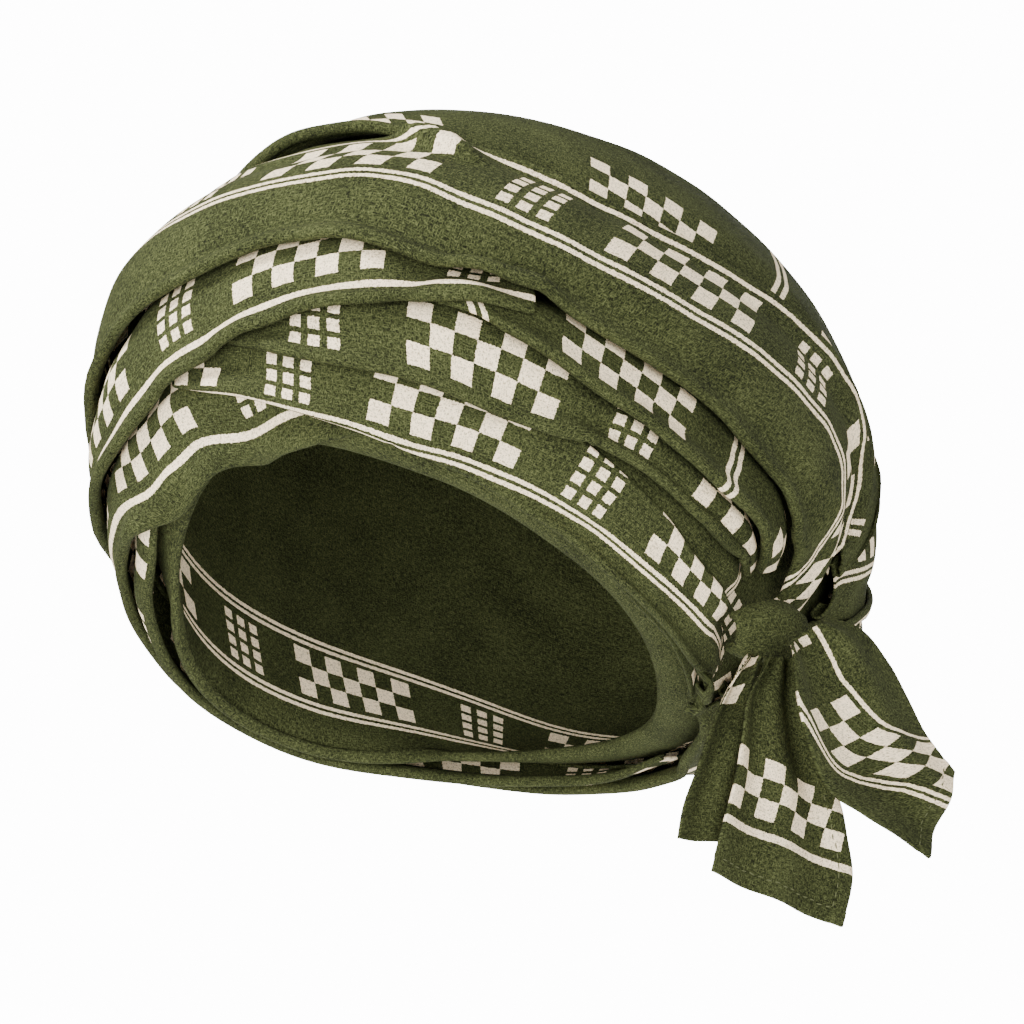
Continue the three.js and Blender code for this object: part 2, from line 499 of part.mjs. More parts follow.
function makeStretch(band) {
  const { grid, stations } = bandGrid(band)
  const dirs = grid.map((cell) => cell.dir)
  const full = (down) => Math.sin(Math.PI * (crown.from + crown.span * down ** crown.low)) ** crown.flat
  const reaches = grid.map(({ dir, along, down, out }) => {
    const open = Math.min(1, ends.slope * Math.min(along, 1 - along) + ends.start)
    const hidden = band.tuck * Math.max(0, 1 - down / hem) + (band.dip ?? 0) * Math.max(0, 1 - (1 - down) / hem)
    const free = out * THREE.MathUtils.lerp(upperOut, 1, down)
    return bulk(dir, band.sink) + free - wall - hidden - band.puff * (1 - full(down) * open)
  })
  const faces = facets(stations, band.across, false)
  const shape = dirs.map((dir, i) => dir.clone().multiplyScalar(reaches[i]))
  const [a, b, c] = faces[0]
  const [ab, ac] = [b, c].map((i) => shape[i].clone().sub(shape[a]))
  const facing = ab.cross(ac)
  if (facing.dot(dirs[a]) < 0) {
    // the rows run the other way round, so each section is taken from the lower edge up
    for (let i = 0; i < stations; i++) {
      const [from, to] = [i * band.across, (i + 1) * band.across]
      dirs.splice(from, band.across, ...dirs.slice(from, to).reverse())
      reaches.splice(from, band.across, ...reaches.slice(from, to).reverse())
      grid.splice(from, band.across, ...grid.slice(from, to).reverse())
    }
  }
  lift(dirs, reaches, faces)
  for (let round = 0; round < bridgeRounds; round++) {
    // cloth is taut along its length, so it bridges the dips between what it lies on
    const before = [...reaches]
    for (let i = band.across; i < reaches.length - band.across; i++) {
      reaches[i] = Math.max(before[i], 0.5 * (before[i - band.across] + before[i + band.across]))
    }
  }
  const inner = dirs.map((dir, i) => dir.clone().multiplyScalar(reaches[i]).add(middle))
  const push = normals(inner, faces)
  const outer = inner.map((point, i) => {
    const { along, down } = grid[i]
    const lens = Math.sin(Math.PI * Math.min(1, Math.max(0, down))) * Math.sin(Math.PI * along)
    return point.clone().addScaledVector(push[i], wall + (band.fill ?? 0) * Math.sqrt(Math.max(0, lens)))
  })
  stamp(outer, faces)
  return sheet(band.name, inner, outer, stations, band.across, band.tint)
}

function makeTail(tail) {
  const { rows, columns } = tailGrid
  const facing = tail.facing * degree
  const out = new THREE.Vector3(Math.sin(facing), -Math.cos(facing), 0)
  const across = new THREE.Vector3(Math.cos(facing), Math.sin(facing), 0)
  const column = (key, at) => smooth(tail.rows.map((row) => row[key]), at)
  const front = []
  for (let i = 0; i < rows; i++) {
    const at = (i / (rows - 1)) * (tail.rows.length - 1)
    const [left, right] = ['left', 'right'].map((side) => [column(side + 'Along', at), column(side + 'Drop', at)])
    for (let j = 0; j < columns; j++) {
      const w = j / (columns - 1)
      const wave = Math.cos(2 * Math.PI * tail.folds * w) * tail.fold * (1 - flatter * (i / (rows - 1)))
      front.push(new THREE.Vector3(...knotPlace)
        .addScaledVector(across, left[0] + (right[0] - left[0]) * w)
        .addScaledVector(out, column('out', at) + 0.5 * wave)
        .setZ(knotPlace[2] - left[1] - (right[1] - left[1]) * w))
    }
  }
  const faces = facets(rows, columns, false)
  const push = normals(front, faces)
  const back = front.map((point, i) => point.clone().addScaledVector(push[i], -tailWall))
  return sheet(tail.name, back, front, rows, columns, 'green')
}

function solidOf(points, index) {
  const list = new Float32Array(points)
  return new solids.Manifold(new solids.Mesh({ numProp: 3, vertProperties: list, triVerts: new Uint32Array(index) }))
}

function comeOutOf(knot, tail) {
  // cuts the top of a tail where it enters the knot, and keeps the hanging end
  const around = knot.geometry.getAttribute('position').clone()
  const push = knot.geometry.getAttribute('normal')
  for (let i = 0; i < around.array.length; i++) around.array[i] += push.array[i] * tailSeat
  const grown = solidOf(around.array, knot.geometry.index.array)
  const whole = solidOf(tail.geometry.getAttribute('position').array, tail.geometry.index.array)
  const ends = whole.subtract(grown).decompose()
  ends.sort((a, b) => b.volume() - a.volume())
  const kept = ends[0].getMesh()
  const geometry = new THREE.BufferGeometry()
  geometry.setAttribute('position', new THREE.BufferAttribute(kept.vertProperties, 3))
  geometry.setIndex([...kept.triVerts])
  tail.geometry = geometry
}

const headWrap = new THREE.Group()
headWrap.add(makeCap())
for (const band of stretches) headWrap.add(makeStretch(band))
const knot = headWrap.getObjectByName('knot')
for (const tail of tails) {
  const hanging = makeTail(tail)
  comeOutOf(knot, hanging)
  headWrap.add(hanging)
}

export default headWrap
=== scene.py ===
import math

import bpy
import numpy as np
from mathutils import Matrix, Vector


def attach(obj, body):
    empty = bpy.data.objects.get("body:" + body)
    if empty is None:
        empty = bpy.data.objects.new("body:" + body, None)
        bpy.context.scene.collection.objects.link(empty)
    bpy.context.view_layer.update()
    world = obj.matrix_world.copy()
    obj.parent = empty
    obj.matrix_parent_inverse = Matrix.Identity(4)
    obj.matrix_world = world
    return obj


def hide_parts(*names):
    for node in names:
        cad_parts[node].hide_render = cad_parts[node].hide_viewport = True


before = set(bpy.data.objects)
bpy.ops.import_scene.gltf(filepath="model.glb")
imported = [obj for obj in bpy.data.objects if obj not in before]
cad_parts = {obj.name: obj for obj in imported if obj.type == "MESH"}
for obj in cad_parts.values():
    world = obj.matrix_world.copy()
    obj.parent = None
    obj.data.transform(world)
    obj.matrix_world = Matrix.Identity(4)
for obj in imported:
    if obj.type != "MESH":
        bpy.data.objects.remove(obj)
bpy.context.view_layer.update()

mm = 0.001

print("camera, floor and lights")
view = {
    "turn": 42, "rise": -18,   # degrees, where the camera stands
    "distance": 1.0,           # metres from the point it looks at
    "lens": 101.9,             # mm, gives 0.345 mm of wrap for each pixel
    "sensor": 36,              # mm, how wide the camera's picture plane is
    "aimAcross": 0.0380,       # metres from the rim's middle to the picture's middle
    "aimUp": 0.0314,
}
turn, rise = math.radians(view["turn"]), math.radians(view["rise"])
back = Vector((math.sin(turn) * math.cos(rise), -math.cos(turn) * math.cos(rise), math.sin(rise)))
across = Vector((math.cos(turn), math.sin(turn), 0))
upward = back.cross(across)
aim = across * view["aimAcross"] + upward * view["aimUp"]
cameraData = bpy.data.cameras.new("camera")
cameraData.lens = view["lens"]
cameraData.sensor_width = view["sensor"]
camera = bpy.data.objects.new("camera", cameraData)
bpy.context.collection.objects.link(camera)
camera.location = aim + back * view["distance"]
camera.rotation_euler = (aim - camera.location).to_track_quat("-Z", "Y").to_euler()
bpy.context.scene.camera = camera

lampAim = Vector((0, 0, 0.03))   # metres, every lamp points here
lamps = [
    # name, place in metres, width in metres, power in watts
    ("key", (-0.4, -1.25, 1.1), 0.6, 63),
    ("fill", (1.5, -0.7, 0.05), 1.3, 20),
    ("rim light", (0.9, 1.2, 1.1), 0.9, 16),
    ("low fill", (0.35, -1.25, -0.25), 0.9, 23),
]
for name, place, size, power in lamps:
    data = bpy.data.lights.new(name, "AREA")
    data.shape = "DISK"
    data.size = size
    data.energy = power
    lamp = bpy.data.objects.new(name, data)
    bpy.context.collection.objects.link(lamp)
    lamp.location = place
    lamp.rotation_euler = (lampAim - Vector(place)).to_track_quat("-Z", "Y").to_euler()

surround = {
    "worldLight": 0.29,
    "floorRadius": 3, "floorHeight": -0.62,                  # metres
    "backdropSide": 2.2, "backdropAway": 3.2, "backdropGlow": 14,
}
world = bpy.data.worlds.new("studio")
bpy.context.scene.world = world
world.use_nodes = True
world.node_tree.nodes["Background"].inputs["Color"].default_value = (1, 1, 1, 1)
world.node_tree.nodes["Background"].inputs["Strength"].default_value = surround["worldLight"]


def plainPaint(name, settings):
    paint = bpy.data.materials.new(name)
    paint.use_nodes = True
    for key, value in settings.items():
        paint.node_tree.nodes["Principled BSDF"].inputs[key].default_value = value
    return paint


bpy.ops.object.select_all(action="DESELECT")
bpy.ops.mesh.primitive_circle_add(vertices=64, radius=surround["floorRadius"], fill_type="NGON",
                                  location=(0, 0, surround["floorHeight"]))
floor = bpy.context.object
floor.name = "floor"
floor.data.materials.append(plainPaint("pale floor", {"Base Color": (0.9, 0.9, 0.89, 1), "Roughness": 0.8}))

bpy.ops.mesh.primitive_plane_add(size=surround["backdropSide"],
                                 location=aim - back * surround["backdropAway"])
backdrop = bpy.context.object
backdrop.name = "backdrop"
backdrop.rotation_euler = camera.rotation_euler
glow = {"Base Color": (0, 0, 0, 1), "Emission Color": (1, 1, 1, 1),
        "Emission Strength": surround["backdropGlow"]}
backdrop.data.materials.append(plainPaint("white backdrop", glow))

print("cloth materials")
dye = {   # colours, and the sizes of the pattern in mm
    "green": (0.033, 0.0388, 0.0132),
    "greenLight": (0.087, 0.097, 0.0375),
    "greenDark": (0.007, 0.008, 0.0032),
    "cream": (0.96, 0.8, 0.55),
    "creamDark": (0.42, 0.33, 0.2),
    "repeat": 107,                             # from one block of checks to the next
    "square": 7.4, "columns": 7, "squareTall": 6.9, "rowCount": 3,
    "ladderAt": 70, "ladderStep": 6.3, "ladderWide": 3.8, "ladderCount": 3,
    "rungStep": 5.3, "rungTall": 3.6, "rungCount": 4,
    "blockFrom": 6.6,                          # from the first line to the blocks
    "lineFrom": 29, "lineWide": 1.6,           # the line above the blocks
    "double": ((0.2, 1.7), (2.9, 4.4)),        # the first lines, each from and to
    "bold": (0, 2.7),                          # the one broad line in place of them
    "upperPair": ((0, 1.5), (2.7, 4.2)),       # two lines above the blocks on the inside
    "crossPair": ((2, 4.2), (6.2, 8.4)),       # stripes across, in place of the ladder
    "pairsEnd": 250,                           # along the scarf, cross stripes stop here
    "shake": (0.9, 0.8), "shakeScale": 1500,   # dyed edges run a thread or two in and out
}
yarn = {
    "dashes": ((620, 2300, 1), (2300, 760, 1)),   # short crinkles along and across, to a metre
    "noise": {"Scale": 1, "Detail": 2, "Roughness": 0.55, "Distortion": 0.35},
    "pitch": (0.95, 1.05), "gridShare": 0.035,    # mm between threads of the loom's plain grid
    "broad": {"Scale": 45, "Detail": 3}, "broadShare": 0.15,   # soft changes of shade over the cloth
    "greenAt": (0.43, 0.54, 0.69), "creamAt": (0.42, 0.56),    # grain from the dark to the light shade
    "bump": 0.8, "bumpDepth": 0.0007,             # the depth in metres
    "roughness": 0.92, "gloss": 0.08,
}


class Wires:
    # short spellings for the nodes of one material

    def __init__(self, tree):
        self.tree = tree

    def node(self, kind, settings=None):
        made = self.tree.nodes.new(kind)
        for key, value in (settings or {}).items():
            made.inputs[key].default_value = value
        return made

    def math(self, kind, a, b=0.0, c=0.0):
        node = self.node("ShaderNodeMath")
        node.operation = kind
        for socket, value in zip(node.inputs, (a, b, c)):
            if isinstance(value, (int, float)):
                socket.default_value = value
            else:
                self.tree.links.new(value, socket)
        return node.outputs[0]

    def add(self, a, b):
        return self.math("ADD", a, b)

    def less(self, a, b):
        return self.math("SUBTRACT", a, b)

    def times(self, a, b):
        return self.math("MULTIPLY", a, b)

    def either(self, a, b):
        return self.math("MAXIMUM", a, b)

    def remainder(self, a, b):
        return self.math("FLOORED_MODULO", a, b)

    def under(self, a, b):
        return self.math("LESS_THAN", a, b)

    def within(self, value, low, high):
        return self.times(self.math("GREATER_THAN", value, low), self.under(value, high))

    def pair(self, value, spans):
        return self.either(self.within(value, *spans[0]), self.within(value, *spans[1]))

    def ramp(self, value, places, colours):
        node = self.node("ShaderNodeValToRGB")
        self.tree.links.new(value, node.inputs["Fac"])
        marks = node.color_ramp.elements
        for mark, k in ((marks[0], 0), (marks[1], -1)):
            mark.position = places[k]
            mark.color = (*colours[k], 1)
        for place, colour in zip(places[1:-1], colours[1:-1]):
            marks.new(place).color = (*colour, 1)
        return node.outputs["Color"]


def creamMask(w, lines, u, v):
    # 1 where the yarn is cream; u runs along the cloth and v up from its first line, both in mm
    place = w.remainder(u, dye["repeat"])
    column = w.math("DIVIDE", place, dye["square"])
    high = w.less(v, dye["blockFrom"])
    row = w.math("DIVIDE", high, dye["squareTall"])
    odd = w.remainder(w.add(w.math("FLOOR", column), w.math("FLOOR", row)), 2)
    checks = w.times(w.under(odd, 0.5), w.within(column, 0, dye["columns"]))
    checks = w.times(checks, w.within(row, 0, dye["rowCount"]))
    rungU = w.less(place, dye["ladderAt"])
    if lines == "border":
        return w.either(checks, w.within(v, *dye["bold"]))
    if lines == "stripes":
        return w.either(checks, w.times(w.pair(rungU, dye["crossPair"]), w.under(u, dye["pairsEnd"])))
    ladder = w.under(w.remainder(rungU, dye["ladderStep"]), dye["ladderWide"])
    ladder = w.times(ladder, w.within(rungU, 0, dye["ladderStep"] * dye["ladderCount"]))
    rungs = w.under(w.remainder(high, dye["rungStep"]), dye["rungTall"])
    ladder = w.times(ladder, w.times(rungs, w.within(high, 0, dye["rungStep"] * dye["rungCount"])))
    blocks = w.either(checks, ladder)
    upper = w.within(v, dye["lineFrom"], dye["lineFrom"] + dye["lineWide"])
    if lines == "full":
        return w.either(blocks, w.either(w.pair(v, dye["double"]), upper))
    if lines == "bold":
        return w.either(blocks, w.either(w.within(v, *dye["bold"]), upper))
    if lines == "inside":
        upper = w.pair(w.less(v, dye["lineFrom"]), dye["upperPair"])
        return w.either(blocks, w.either(w.pair(v, dye["double"]), upper))
    return blocks


def makeCloth(lines):
    # lines: full, bold, border, squares, stripes, inside or plain, as the weave shows on a piece
    paint = bpy.data.materials.new("cloth " + lines)
    paint.use_nodes = True
    w = Wires(paint.node_tree)
    link = paint.node_tree.links.new
    shader = paint.node_tree.nodes["Principled BSDF"]
    uvNode = w.node("ShaderNodeUVMap")
    uvNode.uv_map = "thread"
    thread = uvNode.outputs["UV"]
    wobble = w.node("ShaderNodeTexNoise", {"Scale": dye["shakeScale"], "Detail": 1})
    link(thread, wobble.inputs["Vector"])
    split = w.node("ShaderNodeSeparateXYZ")
    link(thread, split.inputs[0])
    shake = w.node("ShaderNodeSeparateColor")
    link(wobble.outputs["Color"], shake.inputs[0])
    u, v = (w.add(w.times(split.outputs[axis], 1 / mm), w.times(w.less(shake.outputs[part], 0.5), far))
            for axis, part, far in zip(("X", "Y"), ("Red", "Green"), dye["shake"]))
    dashes = []
    for scale in yarn["dashes"]:
        stretch = w.node("ShaderNodeMapping", {"Scale": scale, "Location": (scale[0] / 100, 3, 0)})
        link(thread, stretch.inputs["Vector"])
        noise = w.node("ShaderNodeTexNoise", yarn["noise"])
        link(stretch.outputs["Vector"], noise.inputs["Vector"])
        dashes.append(noise.outputs["Fac"])
    weave = w.times(w.math("SINE", w.times(u, 2 * math.pi / yarn["pitch"][0])),
                    w.math("SINE", w.times(v, 2 * math.pi / yarn["pitch"][1])))
    broad = w.node("ShaderNodeTexNoise", yarn["broad"])
    link(thread, broad.inputs["Vector"])
    grain = w.add(w.either(*dashes), w.times(weave, yarn["gridShare"]))
    shade = w.add(w.times(grain, 1 - yarn["broadShare"]), w.times(broad.outputs["Fac"], yarn["broadShare"]))
    colour = w.ramp(shade, yarn["greenAt"], (dye["greenDark"], dye["green"], dye["greenLight"]))
    if lines != "plain":
        mix = w.node("ShaderNodeMix")
        mix.data_type = "RGBA"
        link(creamMask(w, lines, u, v), mix.inputs["Factor"])
        link(colour, mix.inputs["A"])
        link(w.ramp(grain, yarn["creamAt"], (dye["creamDark"], dye["cream"])), mix.inputs["B"])
        colour = mix.outputs["Result"]
    link(colour, shader.inputs["Base Color"])
    bump = w.node("ShaderNodeBump", {"Strength": yarn["bump"], "Distance": yarn["bumpDepth"]})
    link(grain, bump.inputs["Height"])
    link(bump.outputs["Normal"], shader.inputs["Normal"])
    shader.inputs["Roughness"].default_value = yarn["roughness"]
    shader.inputs["Specular IOR Level"].default_value = yarn["gloss"]
    return paint


weaves = ("full", "bold", "border", "squares", "stripes", "inside", "plain")
clothOf = {kind: makeCloth(kind) for kind in weaves}

print("the wound bulk")
egg = {   # the wound bulk: its half sizes in mm, and its nod in degrees
    "middle": (13, 35, 49), "side": 126, "long": 162, "tall": 132, "nod": -2,
}
rimStep = 30
rim = {   # turn: (rise, reach) of the rim seen from the egg's middle, degrees and mm
    0: (-8, 121), 30: (-17, 106), 60: (-33, 92), 90: (-46, 92), 120: (-54, 97), 150: (-56, 102),
    180: (-55, 105), 210: (-52, 108), 240: (-47, 115), 270: (-41, 125), 300: (-32, 129), 330: (-20, 124),
}
roll = {"span": 42, "round": 2.2}   # degrees from the rim to the full bulk, how round it turns in
middle = np.array(egg["middle"], float)


def smoothAt(table, at):
    # a smooth curve through the rows of a table, read at the places at
    table = np.asarray(table, float)
    last = len(table) - 1
    i = np.clip(np.floor(at).astype(int), 0, last - 1)
    t = (at - i)[:, None]
    a, b, c, d = (table[np.clip(i + k, 0, last)] for k in (-1, 0, 1, 2))
    return 0.5 * (2 * b + (c - a) * t + (2 * a - 5 * b + 4 * c - d) * t ** 2
                  + (3 * b - a - 3 * c + d) * t ** 3)


rimRows = np.array([rim[k] for k in sorted(rim)], float)
rimRing = np.vstack([rimRows[-2:], rimRows, rimRows[:3]])


def rimAt(turnDeg):
    place = np.mod(turnDeg, 360) / rimStep + 2   # two rows stand before the first
    row = smoothAt(rimRing, np.ravel(place))
    return row[:, 0].reshape(np.shape(turnDeg)), row[:, 1].reshape(np.shape(turnDeg))


def towards(turnDeg, riseDeg):
    # directions: 0 is the brow, 90 the wearer's left, and the rise is up from level
    t, r = np.radians(turnDeg), np.radians(riseDeg)
    return np.stack([np.sin(t) * np.cos(r), -np.cos(t) * np.cos(r), np.sin(r)], -1)


def bulk(dirs, depth):
    # how far the bulk reaches each way from the egg's middle, less a depth below its face
    nod = math.radians(egg["nod"])
    y = dirs[..., 1] * math.cos(nod) + dirs[..., 2] * math.sin(nod)
    z = -dirs[..., 1] * math.sin(nod) + dirs[..., 2] * math.cos(nod)
    out = 1 / np.sqrt((dirs[..., 0] / (egg["side"] - depth)) ** 2
                      + (y / (egg["long"] - depth)) ** 2 + (z / (egg["tall"] - depth)) ** 2)
    turnDeg = np.degrees(np.arctan2(dirs[..., 0], -dirs[..., 1]))
    riseDeg = np.degrees(np.arcsin(np.clip(dirs[..., 2], -1, 1)))
    edgeRise, edgeReach = rimAt(turnDeg)
    up = np.clip((riseDeg - edgeRise) / roll["span"], 0, 1)
    swell = np.sqrt(1 - (1 - up) ** roll["round"])
    return edgeReach + (out - edgeReach) * swell


# The height map holds the outermost cloth so far, by direction, round the crown.
cell = 0.3                    # degrees
mapHalf = int(165 / cell)     # it goes 165 degrees down from the crown
heights = np.zeros((2 * mapHalf + 1, 2 * mapHalf + 1), np.float32)


def cellOf(dirs):
    polar = np.degrees(np.arccos(np.clip(dirs[..., 2], -1, 1))) / cell
    flat = np.maximum(np.hypot(dirs[..., 0], dirs[..., 1]), 1e-9)
    return mapHalf + polar * dirs[..., 0] / flat, mapHalf + polar * dirs[..., 1] / flat


def stamp(points):
    # sets a grid of points on the height map, with six points along each side of a cell
    fine = 6
    share = np.arange(fine) / fine
    for a in share:
        for b in share:
            p = (points[:-1, :-1] * (1 - a) * (1 - b) + points[1:, :-1] * a * (1 - b)
                 + points[:-1, 1:] * (1 - a) * b + points[1:, 1:] * a * b)
            ray = p - middle
            reach = np.linalg.norm(ray, axis=-1)
            i, j = (np.rint(k).astype(int) for k in cellOf(ray / reach[..., None]))
            np.maximum.at(heights, (i, j), reach)


def spread(field):
    # the highest value within a cell on each side
    wide = field.copy()
    wide[1:] = np.maximum(wide[1:], field[:-1])
    wide[:-1] = np.maximum(wide[:-1], field[1:])
    out = wide.copy()
    out[:, 1:] = np.maximum(out[:, 1:], wide[:, :-1])
    out[:, :-1] = np.maximum(out[:, :-1], wide[:, 1:])
    return out


def heightUnder(dirs):
    # what the height map holds at the cells round each direction
    reached = spread(heights)
    i, j = (np.floor(k).astype(int) for k in cellOf(dirs))
    return np.max([reached[i + a, j + b] for a in (0, 1) for b in (0, 1)], axis=0)


def soften(grid, rounds, along=1.0, across=1.0):
    # evens out a grid, more rounds for more of it, along and across as much as is given
    for _ in range(rounds):
        pad = np.pad(grid, 1, mode="edge")
        side = (pad[2:, 1:-1] + pad[:-2, 1:-1]) / 2
        down = (pad[1:-1, 2:] + pad[1:-1, :-2]) / 2
        grid = grid + (along * (side - grid) + across * (down - grid)) / 4
    return grid


def gridNormals(p):
    # unit normals of a grid of points, turned away from the egg's middle
    du, dv = np.gradient(p, axis=0), np.gradient(p, axis=1)
    n = np.cross(du, dv)
    n /= np.maximum(np.linalg.norm(n, axis=-1, keepdims=True), 1e-9)
    out = np.sum(n * (p - middle), axis=-1, keepdims=True)
    return n * np.where(np.mean(out) < 0, -1, 1)


def runLength(points, axis):
    # mm from the first point on to each one, along one side of a grid or along a line
    steps = np.linalg.norm(np.diff(points, axis=axis), axis=-1)
    return np.concatenate([np.zeros_like(np.take(steps, [0], axis)), np.cumsum(steps, axis)], axis)


def gridMesh(name, points, uv, paints, thick, ring=False, facing=None):
    # a grid of points in mm made a sheet with threads along it; thick is the cloth's own thickness
    rows, columns = points.shape[:2]
    index = np.arange(rows * columns).reshape(rows, columns)
    a, b = index[:-1, :-1], index[1:, :-1]
    c, d = index[1:, 1:], index[:-1, 1:]
    if ring:
        a, b = index, np.roll(index, -1, 0)
        a, b, c, d = a[:, :-1], b[:, :-1], b[:, 1:], a[:, 1:]
    faces = np.stack([a, b, c, d], -1).reshape(-1, 4)
    mesh = bpy.data.meshes.new(name)
    mesh.from_pydata((points.reshape(-1, 3) * mm).tolist(), [], faces.tolist())
    layer = mesh.uv_layers.new(name="thread")
    flat = uv.reshape(-1, 2)[faces.ravel()] * mm
    if ring:  # the last row of cells meets the first one with the thread still running on
        whole = uv[-1, :, 0].max() * mm * rows / (rows - 1)
        cells = flat.reshape(-1, 4, 2)
        late = cells[:, 0, 0] - cells[:, 1, 0] > whole / 2
        cells[late, 1:3, 0] += whole
    layer.data.foreach_set("uv", flat.ravel().astype(np.float32))
    piece = bpy.data.objects.new(name, mesh)
    bpy.context.collection.objects.link(piece)
    for paint in paints:
        mesh.materials.append(paint)
    bpy.ops.object.select_all(action="DESELECT")
    bpy.context.view_layer.objects.active = piece
    piece.select_set(True)
    spots = points.reshape(-1, 3)
    f = faces[(rows // 2) * (columns - 1) + columns // 2]
    normal = np.cross(spots[f[1]] - spots[f[0]], spots[f[3]] - spots[f[0]])
    if np.dot(normal, spots[f[0]] - middle if facing is None else facing) < 0:
        mesh.flip_normals()
    solid = piece.modifiers.new("thickness", "SOLIDIFY")
    solid.thickness = thick * mm
    solid.offset = -1
    if len(paints) > 1:
        solid.material_offset = 1
    bpy.ops.object.modifier_apply(modifier=solid.name)
    bpy.ops.object.shade_smooth()
    return piece


def tellArea(piece, name, flat, more=""):
    area = sum(f.area for f in piece.data.polygons) / 2
    print("  ", name, "%.4f m2, %.2f of flat" % (area, area / (flat[0] * flat[1])), more)


def settle(piece, node):
    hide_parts(node)
    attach(piece, "root")


foldRadius = 2.1      # mm, half of the thickness of a folded edge
foldLift = 1.9        # mm, shadow gap between a folded edge and what it lies on
foldWide = 9          # mm, how far in from the folded edge the cloth is plumper
foldEnds = 12         # the fold comes up over a twelfth of the length at each end
foldLeg = 4           # mm of cloth turned in under a folded edge
foldAngles = np.radians([25, 50, 75, 100, 125, 150, 180])        # where the rows round a fold lie
upperFold = {"radius": 1.1, "leg": 2.5}                          # mm, the same for the upper edge
narrow, finest = 18, 0.3                                         # mm, finer folds below it, least share
clothWall = 2.2       # mm, from a stretch's underside to its face
clothThick = 0.9      # mm, the sheet itself
gap = 0.35            # mm between a stretch and what it lies on
stepAlong, stepAcross = 2.2, 1.7                                 # mm between points
crownShape = {"from": 0.08, "span": 0.8, "low": 1.4, "flat": 0.8}   # the puffed section across a stretch
endShape = {"start": 0.25, "slope": 6}                           # how it gets thinner at both ends
edgePart = 3          # tuck and dip act over a third of the width
upperOut = 0.35       # share of the rows' stand off that the upper edge has
taut = {"rounds": 40, "across": 0.35, "sag": 0.1}                # pulled tight, less so across; mm it sags
evened = {"reach": 3, "normals": 12, "line": 12, "thread": 60}   # rounds, or stations for the line
waves = {   # soft unevenness, each from and to
    "count": 5, "height": (0.1, 0.28), "along": (10, 34), "down": (2, 9), "shift": (0, 6.3), "share": 0.5,
}
creaseShape = {"sway": 0.05, "swayAlong": 7, "swayShift": 3, "fade": 4, "deepest": -1.4}
